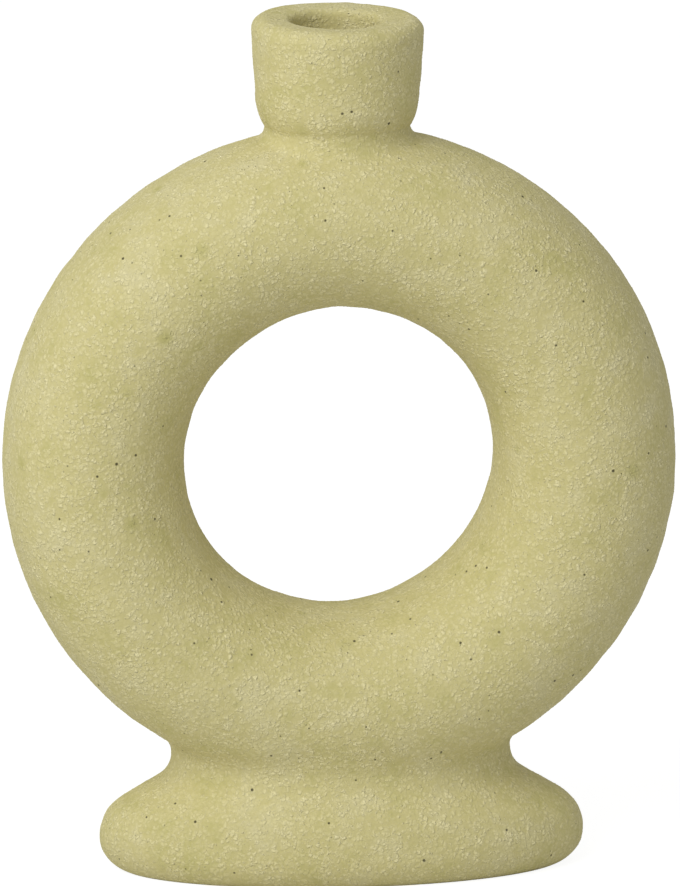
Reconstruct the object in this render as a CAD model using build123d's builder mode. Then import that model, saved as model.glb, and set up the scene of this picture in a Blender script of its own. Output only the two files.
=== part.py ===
from build123d import *
from math import acos, asin, cos, degrees, radians, sin, sqrt, tan
import os

# Donut vase in stoneware: a hollow ring that stands on an oval foot, with a collar neck on top.
# Millimetres, +Z up. The origin lies on the table, under the middle of the foot.
# X runs across the ring, and the ring's own axis is parallel to Y, with its front towards -Y.

# Ring: a tube of oval section, bent round into a circle
ring_radius = 62.3  # from the ring's axis to the middle of its tube
tube_half_width = 23.2  # half the tube, measured in the plane of the ring
tube_half_depth = 29.0  # half the tube, measured from front to back
tube_flank_radius = 43.0  # gentle curve of the tube's flanks; its front and back are rounder
ring_wall = 6.0  # thickness of the clay
ring_sink = 8.8  # depth of the slice taken off under the ring, where it stands on the foot

# Seats of the ring, where the neck and the foot are luted on
neck_seat_rise = 0.6  # top of the neck's seat above the ring
neck_seat_fillet = 2.5  # hollow curve between the neck's seat and the ring
foot_seat_fillet = 2.5  # hollow curve between the foot's seat and the ring
crown_hole_margin = 1.0  # the hole under the neck is this much wider than the mouth, all round
passage_half_width = 22.0  # opening from the ring down into the foot, across the ring
passage_half_depth = 14.0  # the same opening, from front to back

# Neck: a thick collar, narrow where it meets the ring
mouth_radius = 11.5
neck_height = 27.0
neck_waist_radius = 18.6  # at the seam with the ring
neck_radius = 21.0  # at the top of the swelling above the waist
neck_swell_height = 8.0  # height of that swelling
lip_radius = 21.9  # outside of the lip
lip_outer_round = 3.3
lip_inner_round = 2.0

# Foot: a flared oval, hollow inside
foot_half_width = 62.4
foot_half_depth = 29.6
foot_heel_radius = 9.0  # rounding under the widest part, seen from the front
foot_heel_depth_share = 0.85  # the same rounding from front to back, as a share of that
foot_trim = 0.6  # shaved off under the heel, so that the rim stands flat
foot_shoulder_radius = 11.0  # rounding above the widest part
foot_cove_radius = 7.6  # hollow curve from the flare up into the waist
foot_straight_share = 0.49  # straight middle of the flare, as a share of its width
foot_waist_half_width = 43.5
foot_waist_inset = 4.3  # the waist lies this far behind the front of the ring
foot_waist_rise = 0.3  # upright edge above the cove
foot_wall = 7.0  # thickness of the clay at the waist
foot_rim_width = 6.0  # flat rim that the vase stands on
foot_level_steps = 4  # levels of the foot along each curve of its outline and the flare
floor_thickness = 6.0
floor_recess = 2.0  # the floor lies this far above the table
floor_ledge = 2.0  # width of the ledge that the floor is set against
floor_slip_gap = 0.2  # thickness of the slip around the floor's edge

# Luted seams: a bevel along the edge, filled with a coil of soft clay
seam_depth = 2.5  # how deep the bevels cut into the wall
seam_half_width = 2.0  # half the width of a bevelled seam at the surface
seam_end_gap = 2.0  # bare seam between a coil's end and the seat near it
floor_coil_size = 1.8

overrun = 1.0  # every cut runs this far past the surface that it opens

# Heights and places that follow from the sizes above
ring_outer_radius = ring_radius + tube_half_width
ring_inner_radius = ring_radius - tube_half_width
foot_widest_height = foot_heel_radius - foot_trim
foot_flare = foot_half_width - foot_waist_half_width  # how much wider the foot is than its waist
foot_bend = (1 - foot_straight_share) * foot_flare  # width of the shoulder and the cove together
foot_turn = degrees(acos(1 - foot_bend / (foot_shoulder_radius + foot_cove_radius)))
shoulder_end_z = foot_widest_height + foot_shoulder_radius * sin(radians(foot_turn))
cove_start_x = foot_waist_half_width + foot_cove_radius * (1 - cos(radians(foot_turn)))
cove_start_z = shoulder_end_z + foot_straight_share * foot_flare / tan(radians(foot_turn))
cove_end_z = cove_start_z + foot_cove_radius * sin(radians(foot_turn))
foot_height = cove_end_z + foot_waist_rise
foot_waist_half_depth = tube_half_depth - foot_waist_inset
foot_flare_depth_share = (foot_half_depth - foot_waist_half_depth) / foot_flare
heel_spread = sqrt(foot_heel_radius**2 - foot_widest_height**2)
heel_narrowing = foot_heel_radius - heel_spread  # from the widest part down to the rim
floor_half_width = foot_half_width - heel_narrowing - foot_rim_width
floor_half_depth = foot_half_depth - foot_heel_depth_share * heel_narrowing - foot_rim_width
floor_top = floor_recess + floor_thickness
ring_centre_height = foot_height - ring_sink + ring_outer_radius
neck_seam_height = ring_centre_height + ring_outer_radius + neck_seat_rise
ring_centre = (0, 0, ring_centre_height)
ring_axis = Axis(ring_centre, (0, 1, 0))
crown_hole_radius = mouth_radius + crown_hole_margin


def ring_plane(clock_angle):
    """Return the plane through the ring's axis at this angle, clockwise from the top."""
    turn = radians(clock_angle)
    return Plane(ring_centre, x_dir=(sin(turn), 0, cos(turn)), z_dir=(-cos(turn), 0, sin(turn)))


def oval(plane, centre_x, half_width, half_depth, flank_radius):
    """Return an oval face of four tangent arcs: two flanks and two rounder ends along Y."""
    end_radius = (2 * flank_radius * half_width - half_width**2 - half_depth**2) / (
        2 * (flank_radius - half_depth)
    )
    end_share = end_radius / (flank_radius - end_radius)
    join_x = end_share * (flank_radius - half_width)
    join_y = (1 + end_share) * (half_depth - end_radius)
    left = centre_x - join_x
    right = centre_x + join_x
    with BuildSketch(plane) as section:
        with BuildLine():
            ThreePointArc((right, join_y), (centre_x + half_width, 0), (right, -join_y))
            ThreePointArc((right, -join_y), (centre_x, -half_depth), (left, -join_y))
            ThreePointArc((left, -join_y), (centre_x - half_width, 0), (left, join_y))
            ThreePointArc((left, join_y), (centre_x, half_depth), (right, join_y))
        make_face()
    return section.sketch


def seam_bevel(plane, surface_x, direction):
    """Return the V of a seam, open towards the surface, where direction 1 or -1 points out of it."""
    widest = seam_half_width * (seam_depth + overrun) / seam_depth
    mouth_x = surface_x + direction * overrun
    with BuildSketch(plane) as bevel:
        with BuildLine():
            Polyline(
                (surface_x - direction * seam_depth, 0),
                (mouth_x, widest),
                (mouth_x, -widest),
                close=True,
            )
        make_face()
    return bevel.sketch


def arc_points(centre_x, centre_z, radius, start_angle, end_angle):
    """Return points spread along an arc of the foot's outline, as half width and height."""
    points = []
    for step in range(foot_level_steps + 1):
        turn = radians(start_angle + (end_angle - start_angle) * step / foot_level_steps)
        points.append((centre_x + radius * cos(turn), centre_z + radius * sin(turn)))
    return points


def line_points(start, end):
    """Return points spread along a straight part of the foot's outline, between its two ends."""
    points = []
    for step in range(1, foot_level_steps):
        along = step / foot_level_steps
        half_width = start[0] + along * (end[0] - start[0])
        height = start[1] + along * (end[1] - start[1])
        points.append((half_width, height))
    return points


# Outer form of the ring, with a seat for the neck on top and a flat seat for the foot below
with BuildPart() as ring_form:
    tube = oval(ring_plane(90), ring_radius, tube_half_width, tube_half_depth, tube_flank_radius)
    revolve(tube, axis=ring_axis)
    with BuildSketch(Plane.XY.offset(neck_seam_height)):
        Circle(neck_waist_radius)
    extrude(amount=-(neck_seat_rise + tube_half_width))
    neck_seat_edges = ring_form.edges(Select.NEW).filter_by(
        lambda edge: edge.center().Z < neck_seam_height - neck_seat_rise
    )
    fillet(neck_seat_edges, radius=neck_seat_fillet)
    with BuildSketch(Plane.XY.offset(foot_height - ring_sink)):
        Ellipse(foot_waist_half_width, foot_waist_half_depth)
    extrude(amount=tube_half_width)
    foot_seat_edges = ring_form.edges(Select.NEW).filter_by(
        lambda edge: edge.center().Z > foot_height
    )
    fillet(foot_seat_edges, radius=foot_seat_fillet)
    split(bisect_by=Plane.XY.offset(foot_height), keep=Keep.TOP)

# Inside of the ring: the hollow, the hole under the mouth and the passage into the foot
with BuildPart() as ring_hollow:
    inner_tube = oval(
        ring_plane(90),
        ring_radius,
        tube_half_width - ring_wall,
        tube_half_depth - ring_wall,
        tube_flank_radius - ring_wall,
    )
    revolve(inner_tube, axis=ring_axis)
    with BuildSketch(Plane.XY.offset(neck_seam_height + overrun)):
        Circle(crown_hole_radius)
    extrude(amount=-(overrun + neck_seat_rise + tube_half_width))
    with BuildSketch(Plane.XY.offset(foot_height - overrun)):
        Ellipse(passage_half_width, passage_half_depth)
    extrude(amount=overrun - ring_sink + tube_half_width)

# Seam around the outside of the ring, on the right side and then on the left
neck_seat_clear = neck_waist_radius + neck_seat_fillet + seam_end_gap
foot_seat_clear = foot_waist_half_width + foot_seat_fillet + seam_end_gap
seam_start = degrees(asin(neck_seat_clear / ring_outer_radius))
seam_end = 180 - degrees(asin(foot_seat_clear / ring_outer_radius))
with BuildPart() as ring_outer_bevel:
    outer_v = seam_bevel(ring_plane(seam_start), ring_outer_radius, 1)
    revolve(outer_v, axis=ring_axis, revolution_arc=seam_end - seam_start)
    mirror(about=Plane.YZ)

# Seam around the hole of the ring
with BuildPart() as ring_inner_bevel:
    inner_v = seam_bevel(ring_plane(90), ring_inner_radius, -1)
    revolve(inner_v, axis=ring_axis)

# Front half of the ring
with BuildPart() as ring_front_shell:
    add(ring_form.part)
    add(ring_hollow.part, mode=Mode.SUBTRACT)
    add(ring_outer_bevel.part, mode=Mode.SUBTRACT)
    add(ring_inner_bevel.part, mode=Mode.SUBTRACT)
    split(bisect_by=Plane.XZ, keep=Keep.TOP)

# Rear half of the ring
with BuildPart() as ring_rear_shell:
    add(mirror(ring_front_shell.part, about=Plane.XZ, mode=Mode.PRIVATE))

# Coils that fill the two seams of the ring, flush with its surface
with BuildPart() as ring_outer_luting_coil:
    add(ring_outer_bevel.part)
    add(ring_form.part, mode=Mode.INTERSECT)

with BuildPart() as ring_inner_luting_coil:
    add(ring_inner_bevel.part)
    add(ring_form.part, mode=Mode.INTERSECT)

# Bevelled edge under the neck, cut on one side of the seam only
with BuildPart() as neck_bevel:
    with BuildSketch(Plane.XZ):
        with BuildLine():
            Polyline(
                (neck_waist_radius - seam_depth, neck_seam_height),
                (neck_radius + overrun, neck_seam_height),
                (neck_radius + overrun, neck_seam_height + 2 * seam_half_width),
                close=True,
            )
        make_face()
    revolve(axis=Axis.Z)

# Whole neck, turned about the upright axis of the mouth
with BuildPart() as neck_form:
    neck_top = neck_seam_height + neck_height
    swell_top = neck_seam_height + neck_swell_height
    swell_step = neck_radius - neck_waist_radius
    swell_radius = (neck_swell_height**2 + swell_step**2) / (2 * swell_step)
    with BuildSketch(Plane.XZ) as neck_section:
        with BuildLine():
            swell = RadiusArc(
                (neck_waist_radius, neck_seam_height), (neck_radius, swell_top), -swell_radius
            )
            Polyline(
                swell @ 1,
                (lip_radius, neck_top),
                (mouth_radius, neck_top),
                (mouth_radius, neck_seam_height),
                swell @ 0,
            )
        make_face()
        lip_corners = neck_section.vertices().group_by(Axis.Y)[-1].sort_by(Axis.X)
        fillet(lip_corners[0], radius=lip_inner_round)
        fillet(lip_corners[-1], radius=lip_outer_round)
    revolve(axis=Axis.Z)

with BuildPart() as neck_collar:
    add(neck_form.part)
    add(neck_bevel.part, mode=Mode.SUBTRACT)

with BuildPart() as neck_luting_coil:
    add(neck_bevel.part)
    add(neck_form.part, mode=Mode.INTERSECT)

# Bevelled edge on top of the foot, on one side of the seam only
with BuildPart() as foot_bevel:
    with BuildSketch(Plane.XZ):
        with BuildLine():
            Polyline(
                (foot_waist_half_width - seam_depth, foot_height),
                (cove_start_x + overrun, foot_height),
                (cove_start_x + overrun, foot_height - 2 * seam_half_width),
                close=True,
            )
        make_face()
    revolve(axis=Axis.Z)
    scale(by=(1, foot_waist_half_depth / foot_waist_half_width, 1))

# Outer form of the foot, drawn through ovals from its rim up to its waist
with BuildPart() as foot_form:
    heel_centre_x = foot_half_width - foot_heel_radius
    heel_turn = degrees(asin(foot_widest_height / foot_heel_radius))
    heel = arc_points(heel_centre_x, foot_widest_height, foot_heel_radius, -heel_turn, 0)
    shoulder_centre_x = foot_half_width - foot_shoulder_radius
    shoulder = arc_points(shoulder_centre_x, foot_widest_height, foot_shoulder_radius, 0, foot_turn)
    cove_centre_x = foot_waist_half_width + foot_cove_radius
    cove = arc_points(cove_centre_x, cove_end_z, foot_cove_radius, 180 + foot_turn, 180)
    flare = line_points(shoulder[-1], cove[0])
    waist = (foot_waist_half_width, foot_height)
    for half_width, height in [*heel, *shoulder[1:], *flare, *cove, waist]:
        below_widest = height < foot_widest_height
        depth_share = foot_heel_depth_share if below_widest else foot_flare_depth_share
        with BuildSketch(Plane.XY.offset(height)):
            Ellipse(half_width, foot_half_depth - depth_share * (foot_half_width - half_width))
    loft()

# Foot, hollowed from its top rim down to the ledge for the floor
with BuildPart() as foot_pedestal:
    add(foot_form.part)
    with BuildSketch(Plane.XY.offset(floor_top)):
        Ellipse(floor_half_width - floor_ledge, floor_half_depth - floor_ledge)
    with BuildSketch(Plane.XY.offset(foot_height)):
        Ellipse(foot_waist_half_width - foot_wall, foot_waist_half_depth - foot_wall)
    loft(ruled=True, mode=Mode.SUBTRACT)
    with BuildSketch(Plane.XY.offset(-overrun)):
        Ellipse(floor_half_width, floor_half_depth)
    extrude(amount=overrun + floor_top, mode=Mode.SUBTRACT)
    add(foot_bevel.part, mode=Mode.SUBTRACT)

with BuildPart() as foot_luting_coil:
    add(foot_bevel.part)
    add(foot_form.part, mode=Mode.INTERSECT)

# Floor of the foot, pushed up against the ledge
with BuildPart() as foot_floor:
    with BuildSketch(Plane.XY.offset(floor_recess)):
        Ellipse(floor_half_width - floor_slip_gap, floor_half_depth - floor_slip_gap)
    extrude(amount=floor_thickness)

# Coil in the corner under the floor
with BuildPart() as floor_luting_coil:
    with BuildSketch(Plane.XY.offset(floor_recess - floor_coil_size)):
        Ellipse(floor_half_width, floor_half_depth)
    extrude(amount=floor_coil_size)
    with BuildSketch(Plane.XY.offset(floor_recess - floor_coil_size)):
        Ellipse(floor_half_width, floor_half_depth)
    with BuildSketch(Plane.XY.offset(floor_recess)):
        Ellipse(floor_half_width - floor_coil_size, floor_half_depth - floor_coil_size)
    loft(ruled=True, mode=Mode.SUBTRACT)

pieces = {
    "ring_front_shell": ring_front_shell,
    "ring_rear_shell": ring_rear_shell,
    "ring_outer_luting_coil": ring_outer_luting_coil,
    "ring_inner_luting_coil": ring_inner_luting_coil,
    "neck_collar": neck_collar,
    "neck_luting_coil": neck_luting_coil,
    "foot_pedestal": foot_pedestal,
    "foot_luting_coil": foot_luting_coil,
    "foot_floor": foot_floor,
    "floor_luting_coil": floor_luting_coil,
}
os.makedirs("parts", exist_ok=True)
for piece_name, piece in pieces.items():
    piece.part.label = piece_name
    export_step(piece.part, f"parts/{piece_name}.step")
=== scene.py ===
"""Donut vase in gritty glazed stoneware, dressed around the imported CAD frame."""
import math

import bpy
import numpy as np
from bpy.props import FloatProperty, FloatVectorProperty, IntProperty, PointerProperty
from bpy.types import NodeSocket, Operator, Panel, PropertyGroup
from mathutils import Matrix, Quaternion, Vector


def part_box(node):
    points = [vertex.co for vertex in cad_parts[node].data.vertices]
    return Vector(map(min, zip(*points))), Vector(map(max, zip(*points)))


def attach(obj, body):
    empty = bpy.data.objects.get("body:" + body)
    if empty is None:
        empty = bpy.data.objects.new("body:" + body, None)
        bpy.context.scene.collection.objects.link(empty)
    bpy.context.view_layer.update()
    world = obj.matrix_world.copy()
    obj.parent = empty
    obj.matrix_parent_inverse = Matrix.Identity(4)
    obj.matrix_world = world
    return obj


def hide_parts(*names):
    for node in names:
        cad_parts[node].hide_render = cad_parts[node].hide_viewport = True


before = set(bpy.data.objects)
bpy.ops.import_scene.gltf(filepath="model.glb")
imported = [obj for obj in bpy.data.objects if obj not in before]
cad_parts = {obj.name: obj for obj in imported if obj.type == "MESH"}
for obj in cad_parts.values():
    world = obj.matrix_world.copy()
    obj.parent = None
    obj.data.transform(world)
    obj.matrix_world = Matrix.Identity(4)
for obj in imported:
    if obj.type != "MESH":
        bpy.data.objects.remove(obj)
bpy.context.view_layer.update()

bl_info = {
    "name": "Donut vase",
    "version": (1, 0, 0),
    "blender": (4, 5, 0),
    "location": "View3D > Sidebar > Vase",
    "description": "Builds a gritty stoneware ring vase and its studio stage",
    "category": "Add Mesh",
}

MM = 0.001

# Heights that the visual pieces share with the CAD frame
NECK_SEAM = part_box("neck_collar")[0].z
NECK_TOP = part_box("neck_collar")[1].z
FOOT_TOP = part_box("foot_pedestal")[1].z
RING_MIDDLE = sum(corner.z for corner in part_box("ring_inner_luting_coil")) / 2

# The rim stays flat, so the hand's work sets in above it
RIM_ZONE = 10 * MM
FIRM_ZONE = 25 * MM

# From this height up the foot's rows follow the hollow curve under the ring
COVE_FROM = 20 * MM

# No raised grain lies lower than this
GRIT_FROM = 3 * MM

# Points closer than this lie on the same spot of a seam
SAME_SPOT = 0.01 * MM

# Range of the cluster noise over which smooth glaze turns gritty
SMOOTH, GRITTY = 0.36, 0.6

# Sockets of the colour mix node
MIX_FIRST, MIX_SECOND, MIX_RESULT = 6, 7, 2

GLAZED_PIECES = ("ring_front", "ring_rear", "neck", "foot")


def linear(code):
    """Turn an sRGB hex code into an opaque linear colour."""
    channels = [int(code[i : i + 2], 16) / 255 for i in (1, 3, 5)]
    straight = [c / 12.92 if c <= 0.04045 else ((c + 0.055) / 1.055) ** 2.4 for c in channels]
    return (*straight, 1.0)


def length(name, millimetres, description):
    """Return a length property whose default is given in millimetres."""
    return FloatProperty(
        name=name,
        description=description,
        default=millimetres * MM,
        unit="LENGTH",
        subtype="DISTANCE",
        precision=4,
    )


def angle(name, degrees, description):
    """Return an angle property whose default is given in degrees."""
    return FloatProperty(
        name=name, description=description, default=math.radians(degrees), subtype="ANGLE"
    )


def colour(name, code, description):
    """Return a colour property whose default is an sRGB hex code."""
    return FloatVectorProperty(
        name=name, description=description, default=linear(code), size=4, subtype="COLOR", min=0, max=1
    )


class VaseForm(PropertyGroup):
    """Sizes of the vase."""

    ring_radius: length("Ring radius", 62.3, "From the middle of the hole to the middle of the tube")
    tube_half_width: length("Tube half width", 23.0, "Half the tube in the plane of the ring")
    tube_half_depth: length("Tube half depth", 28.8, "Half the tube from front to back")
    tube_flank_radius: length("Tube flank radius", 42.8, "Gentle curve of the tube's flanks")
    wall: length("Wall", 6.0, "Thickness of the clay")
    root_round: length("Root round", 2.5, "Hollow curve where the neck and the foot meet the ring")
    neck_waist_radius: length("Neck waist radius", 18.4, "Neck where it leaves the ring")
    neck_radius: length("Neck radius", 20.8, "Neck above its swelling")
    neck_swell: length("Neck swelling", 8.0, "Height of the swelling above the waist")
    lip_radius: length("Lip radius", 21.7, "Outside of the lip")
    lip_outer_round: length("Lip outer round", 3.3, "Rounding of the lip's outer edge")
    lip_inner_round: length("Lip inner round", 1.7, "Rounding of the lip's inner edge")
    lip_dish: length("Lip dish", 0.4, "How far the lip's top slopes down to the mouth")
    mouth_radius: length("Mouth radius", 11.5, "Bore of the mouth")
    foot_half_width: length("Foot half width", 62.2, "Half the foot from side to side")
    foot_half_depth: length("Foot half depth", 29.4, "Half the foot from front to back")
    heel_radius: length("Heel radius", 9.0, "Rounding under the foot's widest part")
    heel_trim: length("Heel trim", 0.6, "Shaved off below, so that the rim stands flat")
    shoulder_radius: length("Shoulder radius", 11.0, "Rounding above the foot's widest part")
    cove_radius: length("Cove radius", 7.6, "Hollow curve up into the waist")
    waist_half_width: length("Waist half width", 43.3, "Foot where it meets the ring, side to side")
    waist_half_depth: length("Waist half depth", 24.5, "Foot where it meets the ring, front to back")
    rim_width: length("Rim width", 6.0, "Flat rim that the vase stands on")
    ledge_width: length("Ledge width", 2.0, "Ledge inside the foot that stops the floor")
    floor_recess: length("Floor recess", 2.0, "Height of the floor above the table")
    floor_thickness: length("Floor thickness", 6.0, "Thickness of the floor slab")
    floor_coil: length("Floor coil", 1.8, "Clay smeared into the corner under the floor")
    mesh_spacing: length("Mesh spacing", 0.85, "Distance between the points of the skin")


class VaseHand(PropertyGroup):
    """What the potter's hand did to the form."""

    hole_growth: length("Hole growth", 0.1, "How much wider the hole is all round")
    hole_stretch: length("Hole stretch", 0.6, "How far the hole is drawn out along one diagonal")
    hole_turn: angle("Hole stretch direction", 43, "Diagonal of the hole's stretch, up from the right")
    hole_shift: length("Hole shift", -0.25, "How far the hole sits to the right")
    hole_rise: length("Hole rise", 0.4, "How far the hole sits above the ring's middle")
    ring_stretch: length(
        "Ring stretch", 0.35, "How far the ring's outside is drawn out along one diagonal"
    )
    ring_turn: angle("Ring stretch direction", 20, "Diagonal of the ring's stretch, up from the right")
    ring_shift: length("Ring shift", 0.05, "How far the ring sits to the right of its foot")
    lip_rise: length("Lip rise", 0.45, "How much taller the neck was pulled")
    lip_tilt: angle("Lip tilt", 1.4, "How far the lip slopes down to the right")
    lip_lean: angle("Lip lean", 1.6, "How far the lip slopes down to the front")
    neck_shift: length("Neck shift", 0.2, "How far the lip leans to the right")
    mouth_shift: length("Mouth shift", -0.5, "How far the bore sits to the right in the lip")
    wave: length("Wave height", 0.12, "Slow unevenness of the pressed clay")
    ripple: length("Ripple height", 0.05, "Lumps under the glaze")


class VaseGlaze(PropertyGroup):
    """Colours and grit of the glaze."""

    glaze: colour("Glaze", "#CDC48A", "Main pistachio colour of the glaze")
    pale: colour("Pale bloom", "#E2DCBC", "Thin, whiter patches")
    green: colour("Green pool", "#BCB673", "Thicker, greener patches")
    # Crown: paler glaze on the grain tops, partly thin glaze over the grains and partly a painted
    # highlight
    crown_and_highlight: colour("Crown", "#F6EDBA", "Glaze drawn thin over the grains")
    speck: colour("Iron speck", "#2E2918", "Sparse dark specks")
    clay: colour("Bare clay", "#C9B79A", "Unglazed clay under the foot")
    grain_size: length("Grain size", 1.0, "Width of the bumps under the glaze")
    cluster_size: length(
        "Cluster size", 7.0, "Width of the gritty patches and of the smooth ones between"
    )
    blotch_size: length("Blotch size", 14.0, "Width of the pale and green patches")
    fleck_size: length("Fleck size", 6.0, "Width of the largest green flecks")
    fleck_spacing: length("Fleck spacing", 9.0, "Distance between places where a green fleck may lie")
    speck_size: length("Speck size", 1.0, "Width of the largest iron specks")
    speck_spacing: length("Speck spacing", 2.4, "Distance between places where a speck may lie")
    relief: length("Relief", 0.29, "Height of the sandy texture between the raised grains")
    grit_density: FloatProperty(
        name="Grit per square cm",
        description="Raised grains where the grit is thick",
        default=75.0,
        min=0,
    )
    seed: IntProperty(name="Seed", description="Changes where the grains lie", default=4)


class VaseStage(PropertyGroup):
    """Camera and light of the studio picture."""

    azimuth: angle("Azimuth", -3.6, "Camera to the right of the front")
    elevation: angle("Elevation", 13.0, "Camera above the horizon")
    roll: angle("Roll", -0.34, "Lean of the camera")
    distance: length("Distance", 2200.0, "Camera to the middle of the vase")
    frame_height: length("Frame height", 225.0, "Height of the picture at the vase")
    aim_right: length("Aim right", 0.2, "Middle of the picture to the right of the vase's middle")
    aim_height: length("Aim height", 110.3, "Middle of the picture above the table")
    key_azimuth: angle("Key azimuth", -40, "Key light to the right of the front")
    key_elevation: angle("Key elevation", 40, "Key light above the horizon")
    key_distance: length("Key distance", 1800.0, "Key light to the vase")
    key_size: length("Key size", 1300.0, "Side of the square key light")
    key_power: FloatProperty(
        name="Key power", description="Big soft light on the left", default=19.3, unit="POWER"
    )
    ambient: FloatProperty(
        name="Ambient", description="Even light of the white room", default=0.432, min=0
    )
    bounce: colour("Bounce", "#E6E6E6", "Paper as the vase sees it, which lights it from below")
    shade: colour("Shade", "#898989", "Paper as the camera sees it, which shows the vase's shadow")
    glow: FloatProperty(
        name="Paper glow", description="Lifts the lit paper to white", default=0.9, min=0, max=1
    )


class VaseSurface:
    """The outside of the vase as one distance field, so that its pieces meet without a step."""

    def __init__(self, form):
        self.form = form
        flank, wide, deep = form.tube_flank_radius, form.tube_half_width, form.tube_half_depth
        self.end_radius = (2 * flank * wide - wide**2 - deep**2) / (2 * (flank - deep))
        self.end_centre = deep - self.end_radius
        self.flank_centre = flank - wide
        self.outer_radius = form.ring_radius + wide
        self.neck_outline = self.neck_wall()
        self.foot_outline = self.foot_wall()

    def neck_wall(self):
        """Return radius and height up the neck's outside, from the seam to the lip."""
        form = self.form
        step = form.neck_radius - form.neck_waist_radius
        radius = (form.neck_swell**2 + step**2) / (2 * step)
        top = NECK_SEAM + form.neck_swell
        turn = np.linspace(-math.asin(form.neck_swell / radius), 0, 24)
        across = form.neck_radius - radius + radius * np.cos(turn)
        swell = np.stack([across, top + radius * np.sin(turn)], 1)
        return np.vstack([swell, [[form.lip_radius, NECK_TOP]]])

    def foot_wall(self):
        """Return half width and height down the foot's outside, from the waist to the rim."""
        form = self.form
        widest = form.heel_radius - form.heel_trim
        flare = form.foot_half_width - form.waist_half_width
        bends = form.shoulder_radius + form.cove_radius
        # The shoulder and the cove turn until the straight flare between them meets both.
        turns = np.linspace(math.radians(30), math.radians(85), 4000)
        climbs = bends * np.sin(turns) + (flare - bends * (1 - np.cos(turns))) / np.tan(turns)
        turn = turns[np.argmin(np.abs(climbs - FOOT_TOP + widest))]
        cove = np.linspace(0, turn, 20)
        shoulder = np.linspace(turn, 0, 20)
        heel = np.linspace(0, -math.asin(widest / form.heel_radius), 24)[1:]
        across = [
            form.waist_half_width + form.cove_radius * (1 - np.cos(cove)),
            form.foot_half_width - form.shoulder_radius * (1 - np.cos(shoulder)),
            form.foot_half_width - form.heel_radius * (1 - np.cos(heel)),
        ]
        up = [
            FOOT_TOP - form.cove_radius * np.sin(cove),
            widest + form.shoulder_radius * np.sin(shoulder),
            widest + form.heel_radius * np.sin(heel),
        ]
        return np.stack([np.concatenate(across), np.concatenate(up)], 1)

    def foot_depth(self, half_width, height):
        """Return the foot's half depth where it has this half width."""
        form = self.form
        flare = form.foot_half_width - form.waist_half_width
        flare_share = (form.foot_half_depth - form.waist_half_depth) / flare
        heel_share = 0.85
        share = np.where(height < form.heel_radius - form.heel_trim, heel_share, flare_share)
        return form.foot_half_depth - share * (form.foot_half_width - half_width)

    def ring(self, points):
        """Return the distance from the ring's tube."""
        across = np.abs(np.hypot(points[:, 0], points[:, 2] - RING_MIDDLE) - self.form.ring_radius)
        deep = np.abs(points[:, 1])
        on_flank = deep * self.flank_centre < self.end_centre * (across + self.flank_centre)
        flank = np.hypot(across + self.flank_centre, deep) - self.form.tube_flank_radius
        return np.where(on_flank, flank, np.hypot(across, deep - self.end_centre) - self.end_radius)

    def neck(self, points):
        """Return the distance from the neck's post, which ends in the middle of the tube."""
        radii = np.interp(points[:, 2], self.neck_outline[:, 1], self.neck_outline[:, 0])
        below = RING_MIDDLE + self.form.ring_radius - points[:, 2]
        return np.maximum(np.hypot(points[:, 0], points[:, 1]) - radii, below)

    def foot(self, points):
        """Return the distance from the foot's oval post, which ends in the middle of the tube."""
        wide = np.interp(points[:, 2], self.foot_outline[::-1, 1], self.foot_outline[::-1, 0])
        deep = self.foot_depth(wide, points[:, 2])
        reach = np.hypot(points[:, 0] / wide, points[:, 1] / deep)
        slope = np.hypot(points[:, 0] / wide**2, points[:, 1] / deep**2)
        above = points[:, 2] - RING_MIDDLE + self.form.ring_radius
        return np.maximum((reach - 1) * reach / np.maximum(slope, 1e-9), above)

    def distance(self, points):
        """Return the distance from the whole vase, with hollow curves at both roots."""
        radius = self.form.root_round
        joined = self.ring(points)
        for other in (self.neck(points), self.foot(points)):
            depth = np.hypot(np.maximum(radius - joined, 0), np.maximum(radius - other, 0))
            joined = np.maximum(radius, np.minimum(joined, other)) - depth
        return joined

    def slope(self, points):
        """Return the direction in which the distance grows."""
        step = 0.01 * MM
        parts = []
        for axis in np.eye(3) * step:
            parts.append((self.distance(points + axis) - self.distance(points - axis)) / (2 * step))
        return np.stack(parts, 1)

    def settle(self, points, level=False):
        """Move points onto the surface, or only sideways onto it."""
        for _ in range(10):
            slope = self.slope(points)
            if level:
                slope[:, 2] = 0
            reach = self.distance(points) / np.maximum((slope**2).sum(1), 1e-6)
            points = points - reach[:, None] * slope
        return points


def along(points):
    """Return the distance of each point along a line of points."""
    return np.r_[0, np.cumsum(np.linalg.norm(np.diff(points, axis=0), axis=1))]


def resample(points, count):
    """Return points that divide a line into steps of even length."""
    distance = along(points)
    even = np.linspace(0, distance[-1], count + 1)
    return np.stack([np.interp(even, distance, column) for column in points.T], 1)


def even_count(distance, spacing):
    """Return how many steps of about this spacing fit, as a multiple of four."""
    return 4 * max(1, round(distance / spacing / 4))


def ovals(turn, line):
    """Return one row of points round an oval for each half width, half depth and height of a line."""
    rows = []
    for wide, deep, height in line:
        rows.append(np.stack([wide * np.cos(turn), deep * np.sin(turn), np.full(len(turn), height)], 1))
    return rows


def neck_turns(form):
    """Return the angles that space half the neck's seam evenly, from right to left."""
    return np.linspace(0, math.pi, even_count(math.pi * form.neck_waist_radius, form.mesh_spacing) + 1)


def foot_turns(form):
    """Return the angles that space half the foot's seam evenly, from right to left."""
    turn = np.linspace(0, math.pi, 2000)
    across, deep = form.waist_half_width * np.cos(turn), form.waist_half_depth * np.sin(turn)
    distance = along(np.stack([across, deep], 1))
    even = np.linspace(0, distance[-1], even_count(distance[-1], form.mesh_spacing) + 1)
    return np.interp(even, distance, turn)


def all_round(half):
    """Return the angles of a whole seam from those of half of it: front first, then back."""
    return np.r_[-half[:-1], half[:0:-1]]


def neck_seam(surface, turn):
    """Return points of the seam under the neck."""
    radius = surface.form.neck_waist_radius
    return ovals(turn, [(radius, radius, NECK_SEAM)])[0]


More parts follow.
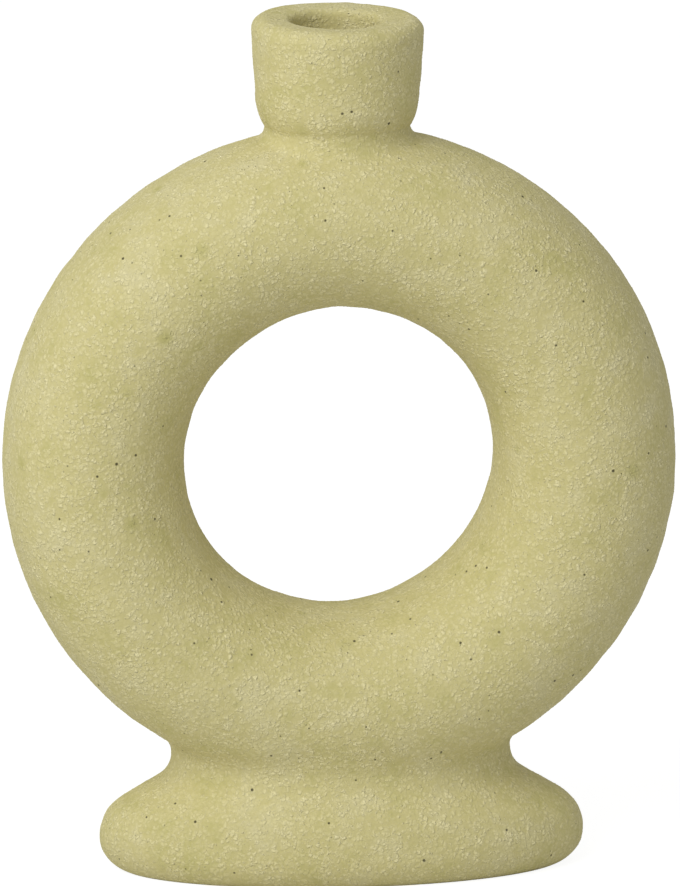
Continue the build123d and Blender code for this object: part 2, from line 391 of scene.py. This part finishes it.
def foot_seam(surface, turn):
    """Return points of the seam over the foot."""
    form = surface.form
    oval = ovals(turn, [(form.waist_half_width, form.waist_half_depth, FOOT_TOP)])[0]
    return surface.settle(oval, level=True)


def rim_line(surface):
    """Return the ring's outer edge at its middle, from the neck's seam down the right side."""
    form = surface.form
    radius = surface.outer_radius
    start = math.asin(form.neck_waist_radius / radius)
    end = math.pi - math.asin(form.waist_half_width / radius)
    turn = np.linspace(start, end, 1200)
    edge = np.stack([radius * np.sin(turn), 0 * turn, RING_MIDDLE + radius * np.cos(turn)], 1)
    above = resample(np.array([(form.neck_waist_radius, 0, NECK_SEAM), edge[0]]), 12)
    below = resample(np.array([edge[-1], (form.waist_half_width, 0, FOOT_TOP)]), 16)
    fine = surface.settle(np.vstack([above, edge[1:-1], below]))
    return resample(fine, even_count(along(fine)[-1], form.mesh_spacing))


def ring_skin(surface, side):
    """Return the skin of one half of the ring as rows of points, from its outer edge to the hole."""
    form = surface.form
    right = rim_line(surface)
    left = right[::-1] * np.array([-1, 1, 1])
    foot = foot_seam(surface, side * foot_turns(form))
    neck = neck_seam(surface, side * neck_turns(form)[::-1])
    edge = np.vstack([right[:-1], foot[:-1], left[:-1], neck[:-1]])
    up = edge[:, 2] - RING_MIDDLE
    start = np.unwrap(np.arctan2(edge[:, 0], up))
    even = np.linspace(0, 2 * math.pi, len(edge), endpoint=False)
    # Around the hole the spokes are spread out again, because they bunch up at the neck's corners.
    slow_waves = 20
    waves = np.fft.rfft(start - even)
    waves[slow_waves:] = 0
    end = even + np.fft.irfft(waves, len(edge))
    lift = np.arctan2(np.abs(edge[:, 1]), np.hypot(edge[:, 0], up) - form.ring_radius)
    count = even_count(math.pi * (form.tube_half_width + form.tube_half_depth) / 2, form.mesh_spacing)
    rows = []
    for share in np.linspace(0, 1, count + 1):
        tube_turn = lift + (math.pi - lift) * share
        ring_turn = start + (end - start) * share
        wide, deep = np.cos(tube_turn) / form.tube_half_width, np.sin(tube_turn) / form.tube_half_depth
        reach = 1 / np.hypot(wide, deep)
        radius = form.ring_radius + reach * np.cos(tube_turn)
        across, up = radius * np.sin(ring_turn), RING_MIDDLE + radius * np.cos(ring_turn)
        rows.append(np.stack([across, side * reach * np.sin(tube_turn), up], 1))
    # The first rows follow the edge, whose seams leave the plain tube.
    edge_share = 0.15
    fade = np.clip(1 - np.linspace(0, 1, count + 1) / edge_share, 0, 1) ** 2
    skin = np.array(rows) + fade[:, None, None] * (edge - rows[0])
    skin = surface.settle(skin.reshape(-1, 3)).reshape(skin.shape)
    skin[0] = edge
    skin[-1, :, 1] = 0
    return skin


def grid_faces(rows, columns, first=0, closed=False):
    """Return the quads of a grid whose columns run round, and whose rows may run round too."""
    row = np.arange(rows if closed else rows - 1)[:, None]
    column = np.arange(columns)[None]
    next_row, next_column = (row + 1) % rows, (column + 1) % columns
    corners = [row * columns + column, row * columns + next_column]
    corners += [next_row * columns + next_column, next_row * columns + column]
    return (np.stack(corners, -1).reshape(-1, 4) + first).tolist()


def band_faces(fine, coarse):
    """Return triangles between a ring of points and one with a quarter as many."""
    faces = []
    for j in range(len(coarse)):
        here, after = coarse[j], coarse[(j + 1) % len(coarse)]
        run = [fine[(4 * j + k) % len(fine)] for k in range(5)]
        faces += [(run[0], run[1], here), (run[1], run[2], here), (run[2], after, here)]
        faces += [(run[2], run[3], after), (run[3], run[4], after)]
    return faces


def flip(faces):
    """Turn faces over."""
    return [face[::-1] for face in faces]


def plane_waves(points, wavelength, seed):
    """Return a smooth random shift of about unit size, made of waves in all directions."""
    count = 24
    rng = np.random.default_rng(seed)
    way = rng.normal(size=(count, 3))
    way *= rng.uniform(0.75, 1.35, (count, 1)) / np.linalg.norm(way, axis=1)[:, None]
    phase = rng.uniform(0, 2 * math.pi, count)
    push = rng.normal(size=(count, 3))
    shift = np.zeros_like(points)
    for i in range(count):
        shift += np.sin(points @ way[i] * (2 * math.pi / wavelength) + phase[i])[:, None] * push[i]
    return shift * math.sqrt(2 / count)


def handmade(points, form, hand):
    """Give points the slight stretch, lean and waviness of a pot made by hand."""
    moved = points.copy()
    firm = np.clip((points[:, 2] - RIM_ZONE) / FIRM_ZONE, 0, 1)
    up = points[:, 2] - RING_MIDDLE
    radius = np.hypot(points[:, 0], up)
    turn = np.arctan2(up, points[:, 0])
    hole = form.ring_radius - form.tube_half_width
    inward = np.clip(1 - (radius - hole) / (2 * form.tube_half_width), 0, 1)
    hole_out = hand.hole_growth + hand.hole_stretch * np.cos(2 * (turn - hand.hole_turn))
    hole_out += hand.hole_shift * np.cos(turn) + hand.hole_rise * np.sin(turn)
    ring_out = hand.ring_stretch * np.cos(2 * (turn - hand.ring_turn)) + hand.ring_shift * np.cos(turn)
    outward = inward * hole_out + (1 - inward) * ring_out
    moved[:, 0] += firm * outward * np.cos(turn)
    moved[:, 2] += firm * outward * np.sin(turn)
    high = np.clip((points[:, 2] - NECK_SEAM) / (NECK_TOP - NECK_SEAM), 0, 1)
    from_axis = np.hypot(points[:, 0], points[:, 1])
    inside = np.clip((form.lip_radius - from_axis) / (form.lip_radius - form.mouth_radius), 0, 1)
    moved[:, 0] += high * (hand.neck_shift + inside * hand.mouth_shift)
    slant = points[:, 1] * math.tan(hand.lip_lean) - points[:, 0] * math.tan(hand.lip_tilt)
    moved[:, 2] += high * (hand.lip_rise + slant)
    low = np.clip(points[:, 2] / RIM_ZONE, 0, 1)[:, None]
    waves = ((hand.wave, 45 * MM), (hand.ripple, 12 * MM), (hand.ripple / 2, 5 * MM))
    for seed, (height, wavelength) in enumerate(waves, start=11):
        moved += low * height * plane_waves(points, wavelength, seed)
    return moved


def make_piece(context, name, points, skin, others, nodes):
    """Make one closed glazed piece out of its skin's faces and the faces that close it."""
    scene = context.scene
    points = handmade(points, scene.vase_form, scene.vase_hand)
    mesh = bpy.data.meshes.new(name)
    mesh.from_pydata(points.tolist(), [], skin + others)
    mesh.shade_smooth()
    mesh.materials.append(glaze_material(scene.vase_glaze))
    marks = [True] * len(skin) + [False] * len(others)
    mesh.attributes.new("skin", "BOOLEAN", "FACE").data.foreach_set("value", marks)
    return add_piece(context, mesh, nodes)


def add_piece(context, mesh, nodes):
    """Show a mesh as a piece of the fired body that stands in for CAD nodes."""
    piece = bpy.data.objects.new(mesh.name, mesh)
    context.scene.collection.objects.link(piece)
    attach(piece, "root")
    if nodes:
        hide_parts(*nodes)
    return piece


def glazed_pieces():
    """Return the glazed pieces, all of which have to be there."""
    missing = [name for name in GLAZED_PIECES if name not in bpy.data.objects]
    if missing:
        raise RuntimeError("Build these pieces first: " + ", ".join(missing))
    return [bpy.data.objects[name] for name in GLAZED_PIECES]


def join_skins(pieces):
    """Give points along the seams one normal from both sides, so that no seam shows in the glaze."""
    total = {}
    found = []
    for piece in pieces:
        mesh = piece.data
        marks = np.zeros(len(mesh.polygons), dtype=bool)
        mesh.attributes["skin"].data.foreach_get("value", marks)
        points = np.array([vertex.co for vertex in mesh.vertices])
        faces = np.array([list(mesh.polygons[i].vertices) for i in np.flatnonzero(marks)])
        first, second, third, fourth = (points[column] for column in faces.T)
        flat = np.cross(third - first, fourth - second)
        normals = np.zeros_like(points)
        for corner in range(4):
            np.add.at(normals, faces[:, corner], flat)
        keys = [tuple(key) for key in np.round(points / SAME_SPOT).astype(int).tolist()]
        found.append((mesh, normals, keys))
        for key, normal in zip(keys, normals):
            total[key] = total.get(key, 0) + normal
    for mesh, normals, keys in found:
        joined = np.array([total[key] for key in keys])
        joined /= np.maximum(np.linalg.norm(joined, axis=1), 1e-20)[:, None]
        joined[np.abs(normals).sum(1) == 0] = 0
        mesh.normals_split_custom_set_from_vertices(joined.tolist())


def add_node(tree, kind, inputs=None, **settings):
    """Add a node, set it up, and fill its inputs with values or with links from other nodes."""
    node = tree.nodes.new(kind)
    node.location = (len(tree.nodes) % 8 * 200, len(tree.nodes) // 8 * -260)
    for name, value in settings.items():
        setattr(node, name, value)
    for key, value in (inputs or {}).items():
        if isinstance(value, NodeSocket):
            tree.links.new(value, node.inputs[key])
        else:
            node.inputs[key].default_value = value
    return node


def remap(tree, value, low, high, start=0.0, end=1.0):
    """Return a value brought from one range into another, and held at its ends."""
    limits = {"Value": value, "From Min": low, "From Max": high, "To Min": start, "To Max": end}
    return add_node(tree, "ShaderNodeMapRange", limits).outputs["Result"]


def sums(tree, operation, first, second):
    """Return what one arithmetic operation makes of two values."""
    return add_node(tree, "ShaderNodeMath", {0: first, 1: second}, operation=operation).outputs[0]


def blend(tree, share, first, second):
    """Return a colour between two colours."""
    mix = {0: share, MIX_FIRST: first, MIX_SECOND: second}
    return add_node(tree, "ShaderNodeMix", mix, data_type="RGBA").outputs[MIX_RESULT]


def new_material(name):
    """Return a node material with nothing in it yet."""
    material = bpy.data.materials.new(name)
    material.use_nodes = True
    material.node_tree.nodes.clear()
    return material


def glaze_material(glaze, name="gritty_matte_glaze", pale_and_highlight_lift=0.0):
    """A dry, sandy matte glaze: soft pistachio with pale and green patches, grit, pale crowns that are
    partly a painted highlight, and iron specks.
    """
    if name in bpy.data.materials:
        return bpy.data.materials[name]
    material = new_material(name)
    tree = material.node_tree
    where = add_node(tree, "ShaderNodeTexCoord").outputs["Object"]

    # Broad patches: whiter where the glaze is thin, greener where it has pooled
    blotch = {"Vector": where, "Scale": 1 / glaze.blotch_size, "Detail": 5.0, "Roughness": 0.75}
    bloom = add_node(tree, "ShaderNodeTexNoise", blotch).outputs["Fac"]
    # The lift pales the glaze copy for the raised grains: partly thin glaze over grit, partly a painted
    # highlight that offsets the shade on their sides
    pale_share = remap(tree, bloom, 0.5, 0.75, pale_and_highlight_lift, pale_and_highlight_lift + 0.4)
    pooled = remap(tree, bloom, 0.47, 0.25, end=0.9)
    base = blend(tree, pale_share, glaze.glaze, glaze.pale)
    base = blend(tree, pooled, base, glaze.green)

    # Sandy relief: small pale crowns over buried grains, lower in the smoother patches. The pale crowns
    # are partly thin glaze and partly a painted highlight on the bump tops
    patch = {"Vector": where, "Scale": 1 / glaze.cluster_size, "Detail": 2.0}
    cluster = add_node(tree, "ShaderNodeTexNoise", patch).outputs["Fac"]
    thick = remap(tree, cluster, SMOOTH, GRITTY, start=0.5)
    uneven = {"Vector": where, "Scale": 1 / glaze.grain_size, "Detail": 1.0}
    push = add_node(tree, "ShaderNodeTexNoise", uneven).outputs["Color"]
    bend = {0: push, 1: [1.5 * glaze.grain_size] * 3, 2: where}
    bent = add_node(tree, "ShaderNodeVectorMath", bend, operation="MULTIPLY_ADD").outputs[0]
    buried = {"Vector": bent, "Scale": 1 / glaze.grain_size}
    grains = add_node(tree, "ShaderNodeTexVoronoi", buried).outputs
    crest = remap(tree, grains["Distance"], 0.75, 0.05)
    any_height = add_node(tree, "ShaderNodeSeparateColor", {"Color": grains["Color"]}).outputs["Green"]
    tall = remap(tree, any_height, 0.0, 1.0, 0.1, 1.4)
    relief = sums(tree, "MULTIPLY", sums(tree, "MULTIPLY", crest, tall), thick)
    raised = {"Height": relief, "Strength": 1.0, "Distance": glaze.relief}
    bump = add_node(tree, "ShaderNodeBump", raised).outputs["Normal"]
    # The bump tops are blended towards the crown colour: partly thin glaze, partly a painted highlight on
    # the tops
    base = blend(tree, remap(tree, relief, 0.0, 1.25), base, glaze.crown_and_highlight)

    # Flecks and specks: a few of many scattered places hold a soft green fleck or a small dark iron speck
    flecks = (glaze.green, glaze.fleck_size, glaze.fleck_spacing, 0.25, 0.85)
    specks = (glaze.speck, glaze.speck_size, glaze.speck_spacing, 0.08, 0.85)
    for tint, size, spacing, edge, strength in (flecks, specks):
        cells = add_node(tree, "ShaderNodeTexVoronoi", {"Vector": where, "Scale": 1 / spacing}).outputs
        chance = add_node(tree, "ShaderNodeSeparateColor", {"Color": cells["Color"]}).outputs["Red"]
        reach = remap(tree, chance, 0.72, 1.0, end=0.5 * size / spacing)
        inside = sums(tree, "SUBTRACT", reach, cells["Distance"])
        base = blend(tree, remap(tree, inside, 0.0, edge, end=strength), base, tint)

    finish = {"Base Color": base, "Roughness": 0.75, "Specular IOR Level": 0.15, "Normal": bump}
    shader = add_node(tree, "ShaderNodeBsdfPrincipled", finish)
    add_node(tree, "ShaderNodeOutputMaterial", {"Surface": shader.outputs["BSDF"]})
    return material


def clay_material(glaze):
    """Unglazed stoneware: warm sandy buff, dull and slightly rough."""
    name = "bare_stoneware"
    if name in bpy.data.materials:
        return bpy.data.materials[name]
    material = new_material(name)
    tree = material.node_tree
    where = add_node(tree, "ShaderNodeTexCoord").outputs["Object"]
    grains = {"Vector": where, "Scale": 1 / glaze.grain_size, "Detail": 4.0}
    sand = add_node(tree, "ShaderNodeTexNoise", grains).outputs["Fac"]
    shade = [channel * 0.8 for channel in glaze.clay[:3]] + [1]
    base = blend(tree, sand, shade, glaze.clay)
    bump = add_node(tree, "ShaderNodeBump", {"Height": sand, "Distance": glaze.relief}).outputs["Normal"]
    finish = {"Base Color": base, "Roughness": 0.9, "Specular IOR Level": 0.2, "Normal": bump}
    shader = add_node(tree, "ShaderNodeBsdfPrincipled", finish)
    add_node(tree, "ShaderNodeOutputMaterial", {"Surface": shader.outputs["BSDF"]})
    return material


def ring_half(context, side, name, nodes):
    """Make one closed half of the ring: its skin, its inside wall and the edges between them."""
    form = context.scene.vase_form
    surface = VaseSurface(form)
    skin = ring_skin(surface, side)
    points = skin.reshape(-1, 3)
    slope = surface.slope(points)
    slope /= np.linalg.norm(slope, axis=1)[:, None]
    inner = (points - slope * form.wall).reshape(skin.shape)[::4, ::4]
    inner[-1, :, 1] = 0
    rows, columns = skin.shape[:2]
    inner_rows, inner_columns = inner.shape[:2]
    faces = grid_faces(rows, columns)
    inside = grid_faces(inner_rows, inner_columns, len(points))
    rim, hole = range(columns), range(len(points) - columns, len(points))
    last = len(points) + inner_rows * inner_columns
    inner_rim = range(len(points), len(points) + inner_columns)
    inner_hole = range(last - inner_columns, last)
    others = flip(inside) + flip(band_faces(rim, inner_rim)) + band_faces(hole, inner_hole)
    if side < 0:
        faces, others = flip(faces), flip(others)
    return make_piece(context, name, np.vstack([points, inner.reshape(-1, 3)]), faces, others, nodes)


class VASE_OT_ring(Operator):
    """Build the two halves of the ring"""

    bl_idname = "vase.ring"
    bl_label = "Ring"

    def execute(self, context):
        ring_half(context, -1, "ring_front", ["ring_front_shell", "ring_outer_luting_coil"])
        ring_half(context, 1, "ring_rear", ["ring_rear_shell", "ring_inner_luting_coil"])
        return {"FINISHED"}


def corner(centre_x, centre_z, radius, start, end):
    """Return points along a rounded corner of an outline, between two angles in degrees."""
    turn = np.radians(np.linspace(start, end, 11))
    return np.stack([centre_x + radius * np.cos(turn), centre_z + radius * np.sin(turn)], 1)


class VASE_OT_neck(Operator):
    """Build the collar neck with its lip and bore"""

    bl_idname = "vase.neck"
    bl_label = "Neck"

    def execute(self, context):
        form = context.scene.vase_form
        surface = VaseSurface(form)
        turn = all_round(neck_turns(form))
        outer, inner = form.lip_outer_round, form.lip_inner_round
        lip = corner(form.lip_radius - outer, NECK_TOP - outer, outer, 0, 90)
        mouth = corner(form.mouth_radius + inner, NECK_TOP - form.lip_dish - inner, inner, 90, 180)
        line = np.vstack([surface.neck_outline[:-1], lip, mouth, [[form.mouth_radius, NECK_SEAM]]])
        line = resample(line, even_count(along(line)[-1], form.mesh_spacing))
        rows = ovals(turn, line[:, [0, 0, 1]])
        faces = flip(grid_faces(len(rows), len(turn), closed=True))
        skin_count = (len(rows) - 1) * len(turn)
        nodes = ["neck_collar", "neck_luting_coil"]
        make_piece(context, "neck", np.vstack(rows), faces[:skin_count], faces[skin_count:], nodes)
        return {"FINISHED"}


class VASE_OT_foot(Operator):
    """Build the flared oval foot, which is hollow and bare below"""

    bl_idname = "vase.foot"
    bl_label = "Foot"

    def execute(self, context):
        form = context.scene.vase_form
        surface = VaseSurface(form)
        turn = all_round(foot_turns(form))
        outline = surface.foot_outline
        wall = np.column_stack([outline[:, 0], surface.foot_depth(*outline.T), outline[:, 1]])
        wall = resample(wall, even_count(along(wall)[-1], form.mesh_spacing))
        rim = wall[-1] - [form.rim_width, form.rim_width, 0]
        ledge = form.floor_recess + form.floor_thickness
        below = resample(np.array([wall[-1], rim]), 6)[1:]
        rebate = [rim[0], rim[1], ledge]
        shelf = [rim[0] - form.ledge_width, rim[1] - form.ledge_width, ledge]
        top = [form.waist_half_width - form.wall, form.waist_half_depth - form.wall, FOOT_TOP]
        rows = ovals(turn, np.vstack([wall, below, [rebate, shelf, top]]))
        rows[0] = foot_seam(surface, turn)
        # The cove leaves room for the hollow curve under the ring.
        for i in range(1, len(wall)):
            if wall[i, 2] > COVE_FROM:
                rows[i] = surface.settle(rows[i])
        faces = grid_faces(len(rows), len(turn), closed=True)
        skin_count = (len(wall) - 1) * len(turn)
        nodes = ["foot_pedestal", "foot_luting_coil"]
        skin, others = faces[:skin_count], faces[skin_count:]
        piece = make_piece(context, "foot", np.vstack(rows), skin, others, nodes)
        piece.data.materials.append(clay_material(context.scene.vase_glaze))
        bare = [0] * skin_count + [1] * (len(faces) - skin_count)
        piece.data.polygons.foreach_set("material_index", bare)
        return {"FINISHED"}


class VASE_OT_floor(Operator):
    """Build the bare clay floor that closes the foot"""

    bl_idname = "vase.floor"
    bl_label = "Floor"

    def execute(self, context):
        form = context.scene.vase_form
        surface = VaseSurface(form)
        turn = all_round(foot_turns(form)[::2])
        wall = surface.foot_outline[-1]
        wide = wall[0] - form.rim_width
        deep = surface.foot_depth(*wall) - form.rim_width
        low, high = form.floor_recess, form.floor_recess + form.floor_thickness
        tip = 0.02
        line = [(share * wide, share * deep, high) for share in (tip, 0.5, 1)]
        for turned in np.radians(np.linspace(0, 90, 7)):
            inset = form.floor_coil * (1 - math.cos(turned))
            line.append((wide - inset, deep - inset, low - form.floor_coil * (1 - math.sin(turned))))
        inner_wide, inner_deep = wide - form.floor_coil, deep - form.floor_coil
        line += [(share * inner_wide, share * inner_deep, low) for share in (0.8, 0.6, 0.4, 0.2, tip)]
        rows = ovals(turn, line)
        last = (len(rows) - 1) * len(turn)
        caps = [list(range(len(turn)))[::-1], list(range(last, last + len(turn)))]
        mesh = bpy.data.meshes.new("floor")
        mesh.from_pydata(np.vstack(rows).tolist(), [], grid_faces(len(rows), len(turn)) + caps)
        mesh.materials.append(clay_material(context.scene.vase_glaze))
        add_piece(context, mesh, ["foot_floor", "floor_luting_coil"])
        return {"FINISHED"}


def grit_tree(material):
    """Return the node group that strews raised grains over a skin, thick in some patches."""
    tree = bpy.data.node_groups.new("Glaze grit", "GeometryNodeTree")
    tree.interface.new_socket("Geometry", in_out="INPUT", socket_type="NodeSocketGeometry")
    for label in ("Density", "Grain size", "Cluster size", "Lowest"):
        tree.interface.new_socket(label, in_out="INPUT", socket_type="NodeSocketFloat")
    tree.interface.new_socket("Seed", in_out="INPUT", socket_type="NodeSocketInt")
    tree.interface.new_socket("Geometry", in_out="OUTPUT", socket_type="NodeSocketGeometry")
    given = add_node(tree, "NodeGroupInput").outputs
    named = add_node(tree, "GeometryNodeInputNamedAttribute", {"Name": "skin"}, data_type="BOOLEAN")
    skin = named.outputs["Attribute"]
    place = add_node(tree, "GeometryNodeInputPosition").outputs["Position"]
    height = add_node(tree, "ShaderNodeSeparateXYZ", {"Vector": place}).outputs["Z"]
    clear = sums(tree, "GREATER_THAN", height, given["Lowest"])
    allowed = add_node(tree, "FunctionNodeBooleanMath", {0: skin, 1: clear}, operation="AND").outputs[0]

    # Grains lie thick in some patches and thin in others
    scale = sums(tree, "DIVIDE", 1.0, given["Cluster size"])
    patch = {"Vector": place, "Scale": scale, "Detail": 2.0}
    cluster = add_node(tree, "ShaderNodeTexNoise", patch).outputs["Fac"]
    thick = remap(tree, cluster, SMOOTH, GRITTY, start=0.45)
    density = sums(tree, "MULTIPLY", thick, given["Density"])
    strewn = {"Mesh": given["Geometry"], "Selection": allowed, "Density": density, "Seed": given["Seed"]}
    points = add_node(tree, "GeometryNodeDistributePointsOnFaces", strewn).outputs

    # Each grain is a flat pebble, sunk so that only its crown stands out
    depth = sums(tree, "MULTIPLY", given["Grain size"], -0.07)
    inward = {0: points["Normal"], "Scale": depth}
    sink = add_node(tree, "ShaderNodeVectorMath", inward, operation="SCALE").outputs[0]
    sinking = {"Geometry": points["Points"], "Offset": sink}
    sunk = add_node(tree, "GeometryNodeSetPosition", sinking).outputs["Geometry"]
    pebble = {"Segments": 5, "Rings": 2, "Radius": 1.0}
    grain = add_node(tree, "GeometryNodeMeshUVSphere", pebble).outputs["Mesh"]
    shape = {0: (0.2, 0.16, 0.12), 1: (0.55, 0.38, 0.18), "Seed": given["Seed"]}
    size = add_node(tree, "FunctionNodeRandomValue", shape, data_type="FLOAT_VECTOR").outputs["Value"]
    scaled = {0: size, "Scale": given["Grain size"]}
    size = add_node(tree, "ShaderNodeVectorMath", scaled, operation="SCALE").outputs[0]
    placing = {"Points": sunk, "Instance": grain, "Rotation": points["Rotation"], "Scale": size}
    placed = add_node(tree, "GeometryNodeInstanceOnPoints", placing).outputs["Instances"]
    spread = {0: (-0.2, -0.2, 0.0), 1: (0.2, 0.2, 2 * math.pi), "Seed": given["Seed"]}
    spin = add_node(tree, "FunctionNodeRandomValue", spread, data_type="FLOAT_VECTOR").outputs["Value"]
    turning = {"Instances": placed, "Rotation": spin, "Local Space": True}
    turned = add_node(tree, "GeometryNodeRotateInstances", turning).outputs["Instances"]

    real = add_node(tree, "GeometryNodeRealizeInstances", {"Geometry": turned}).outputs["Geometry"]
    smooth = add_node(tree, "GeometryNodeSetShadeSmooth", {"Geometry": real}).outputs["Geometry"]
    coated = {"Geometry": smooth, "Material": material}
    coat = add_node(tree, "GeometryNodeSetMaterial", coated).outputs["Geometry"]
    add_node(tree, "NodeGroupOutput", {"Geometry": coat})
    return tree


class VASE_OT_grit(Operator):
    """Smooth the glaze over the seams and strew raised grains over it"""

    bl_idname = "vase.grit"
    bl_label = "Grit"

    def execute(self, context):
        glaze = context.scene.vase_glaze
        pieces = glazed_pieces()
        join_skins(pieces)
        # The raised grains get a paler copy of the glaze: partly thin glaze, partly a painted highlight
        tree = grit_tree(glaze_material(glaze, "gritty_matte_glaze_crests", 0.3))
        inputs = [item for item in tree.interface.items_tree if item.in_out == "INPUT"]
        sockets = {item.name: item.identifier for item in inputs}
        for i, piece in enumerate(pieces):
            carrier = bpy.data.objects.new("carrier", piece.data)
            context.scene.collection.objects.link(carrier)
            strew = carrier.modifiers.new("grit", "NODES")
            strew.node_group = tree
            strew[sockets["Density"]] = glaze.grit_density / (10 * MM) ** 2
            strew[sockets["Grain size"]] = glaze.grain_size
            strew[sockets["Cluster size"]] = glaze.cluster_size
            strew[sockets["Lowest"]] = GRIT_FROM
            strew[sockets["Seed"]] = glaze.seed + i
            shown = carrier.evaluated_get(context.evaluated_depsgraph_get())
            mesh = bpy.data.meshes.new_from_object(shown)
            mesh.name = piece.name + "_grit"
            bpy.data.objects.remove(carrier)
            add_piece(context, mesh, [])
        return {"FINISHED"}


def direction(azimuth, elevation):
    """Return the direction to something, from its angle round from the front and above the horizon."""
    level = math.cos(elevation)
    return Vector((math.sin(azimuth) * level, -math.cos(azimuth) * level, math.sin(elevation)))


def showing_rays(tree):
    """Return a socket that is 1 for camera, glossy and transmission rays, which show the background."""
    rays = add_node(tree, "ShaderNodeLightPath").outputs
    bent = sums(tree, "MAXIMUM", rays["Is Glossy Ray"], rays["Is Transmission Ray"])
    return sums(tree, "MAXIMUM", rays["Is Camera Ray"], bent)


class VASE_OT_stage(Operator):
    """Set up the white paper, the soft studio light and the camera"""

    bl_idname = "vase.stage"
    bl_label = "Stage"

    def execute(self, context):
        scene = context.scene
        stage = scene.vase_stage
        scene.view_settings.view_transform = "Standard"
        self.lay_paper(scene, stage)
        self.light_room(scene, stage)
        self.hang_key(scene, stage)
        self.aim_camera(scene, stage)
        return {"FINISHED"}

    def lay_paper(self, scene, stage):
        """Lay white paper that the camera sees as white but for a faint shadow."""
        paper = new_material("white_paper")
        tree = paper.node_tree
        white = linear("#FFFFFF")
        matte = add_node(tree, "ShaderNodeBsdfDiffuse", {"Color": stage.bounce}).outputs["BSDF"]
        shaded = add_node(tree, "ShaderNodeBsdfDiffuse", {"Color": stage.shade}).outputs["BSDF"]
        glowing = {"Color": white, "Strength": stage.glow}
        glow = add_node(tree, "ShaderNodeEmission", glowing).outputs["Emission"]
        seen = add_node(tree, "ShaderNodeAddShader", {0: shaded, 1: glow}).outputs["Shader"]
        sides = {0: showing_rays(tree), 1: matte, 2: seen}
        shader = add_node(tree, "ShaderNodeMixShader", sides).outputs["Shader"]
        add_node(tree, "ShaderNodeOutputMaterial", {"Surface": shader})
        half = 8.0
        mesh = bpy.data.meshes.new("paper")
        corners = [(-half, -half, 0), (half, -half, 0), (half, half, 0), (-half, half, 0)]
        mesh.from_pydata(corners, [], [(0, 1, 2, 3)])
        mesh.materials.append(paper)
        sheet = bpy.data.objects.new("paper", mesh)
        scene.collection.objects.link(sheet)

    def light_room(self, scene, stage):
        """Surround the vase with even light, and show the camera a white wall."""
        world = bpy.data.worlds.new("white_room")
        world.use_nodes = True
        tree = world.node_tree
        tree.nodes.clear()
        strength = remap(tree, showing_rays(tree), 0.0, 1.0, start=stage.ambient)
        room = add_node(tree, "ShaderNodeBackground", {"Color": linear("#FFFFFF"), "Strength": strength})
        add_node(tree, "ShaderNodeOutputWorld", {"Surface": room.outputs["Background"]})
        scene.world = world

    def hang_key(self, scene, stage):
        """Hang a big soft light to the left, facing the vase."""
        light = bpy.data.lights.new("key", "AREA")
        light.size = stage.key_size
        light.energy = stage.key_power
        lamp = bpy.data.objects.new("key", light)
        away = direction(stage.key_azimuth, stage.key_elevation)
        lamp.location = Vector((0, 0, stage.aim_height)) + away * stage.key_distance
        lamp.rotation_mode = "QUATERNION"
        lamp.rotation_quaternion = (-away).to_track_quat("-Z", "Y")
        scene.collection.objects.link(lamp)

    def aim_camera(self, scene, stage):
        """Set up a long lens in front of the vase, a little above it."""
        camera = bpy.data.cameras.new("camera")
        camera.lens = camera.sensor_width * stage.distance / stage.frame_height
        camera.clip_end = 50  # Metres, past the edge of the paper
        holder = bpy.data.objects.new("camera", camera)
        away = direction(stage.azimuth, stage.elevation)
        holder.location = Vector((stage.aim_right, 0, stage.aim_height)) + away * stage.distance
        holder.rotation_mode = "QUATERNION"
        holder.rotation_quaternion = (-away).to_track_quat("-Z", "Y") @ Quaternion((0, 0, 1), stage.roll)
        scene.collection.objects.link(holder)
        scene.camera = holder


GROUPS = {"vase_form": VaseForm, "vase_hand": VaseHand, "vase_glaze": VaseGlaze, "vase_stage": VaseStage}
OPERATORS = (VASE_OT_ring, VASE_OT_neck, VASE_OT_foot, VASE_OT_floor, VASE_OT_grit, VASE_OT_stage)


class VASE_PT_panel(Panel):
    """Sidebar panel with the vase's settings and the steps that build it"""

    bl_idname = "VASE_PT_panel"
    bl_label = "Donut vase"
    bl_space_type = "VIEW_3D"
    bl_region_type = "UI"
    bl_category = "Vase"

    def draw(self, context):
        for name, kind in GROUPS.items():
            box = self.layout.box()
            for setting in kind.__annotations__:
                box.prop(getattr(context.scene, name), setting)
        for operator in OPERATORS:
            self.layout.operator(operator.bl_idname)


CLASSES = (*GROUPS.values(), *OPERATORS, VASE_PT_panel)


def register():
    """Register the classes and hang their settings on the scene."""
    for kind in CLASSES:
        bpy.utils.register_class(kind)
    for name, kind in GROUPS.items():
        setattr(bpy.types.Scene, name, PointerProperty(type=kind))


def unregister():
    """Take the settings and the classes away again."""
    for name in GROUPS:
        delattr(bpy.types.Scene, name)
    for kind in reversed(CLASSES):
        bpy.utils.unregister_class(kind)


def main():
    """Build the vase and its stage."""
    register()
    bpy.ops.vase.ring()
    bpy.ops.vase.neck()
    bpy.ops.vase.foot()
    bpy.ops.vase.floor()
    bpy.ops.vase.grit()
    bpy.ops.vase.stage()


if __name__ == "__main__":
    main()
